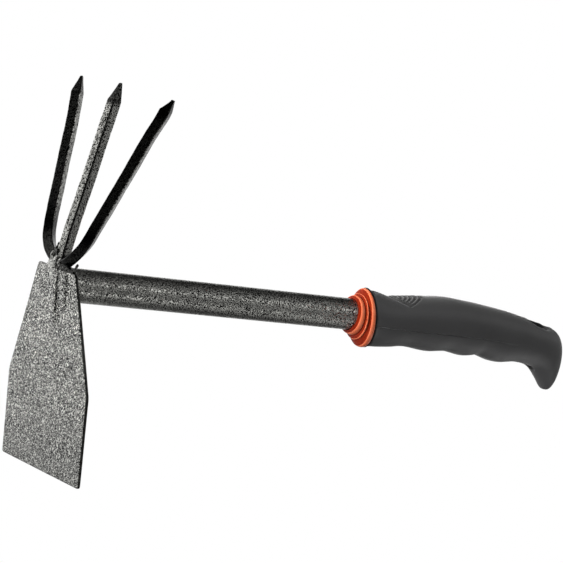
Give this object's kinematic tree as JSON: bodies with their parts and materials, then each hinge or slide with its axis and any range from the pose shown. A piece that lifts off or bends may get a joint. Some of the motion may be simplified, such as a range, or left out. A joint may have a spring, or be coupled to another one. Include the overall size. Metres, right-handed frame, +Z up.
{
  "type": "grub hoe",
  "caption": "Short hand hoe with a flat hexagonal blade and welded cultivator tines on a steel tube, with a stepped orange ferrule and a hooked rubber grip.",
  "frame": {"origin": "the middle of the blade's cutting edge, on the edge's flat end face", "axes": "+X parallel to the tube, from the head to the grip, +Z up from the blade towards the tines, +Y across the tool"},
  "size_m": [0.3443, 0.1044, 0.2075],
  "materials": {
    "blade_paint": "grey hammered paint, semi-gloss, on sheet steel",
    "tine_paint": "dark hammered paint, semi-gloss, on square steel bar",
    "weld_paint": "hammered paint over rough weld metal",
    "tube_paint": "dark hammered paint, semi-gloss, on round steel tube",
    "ferrule_plastic": "glossy orange-red moulded plastic",
    "liner_plastic": "black moulded plastic",
    "grip_rubber": "matte charcoal moulded rubber"
  },
  "bodies": {
    "root": {"hoe_blade": "blade_paint", "tine_left": "tine_paint", "tine_middle": "tine_paint", "tine_right": "tine_paint", "weld_tine_left": "weld_paint", "weld_tine_right": "weld_paint", "weld_face_ridge": "weld_paint", "weld_tube_fillet": "weld_paint", "shaft_tube": "tube_paint", "collar_ring": "ferrule_plastic", "grip_core": "liner_plastic", "grip_sleeve": "grip_rubber"}
  },
  "joints": []
}
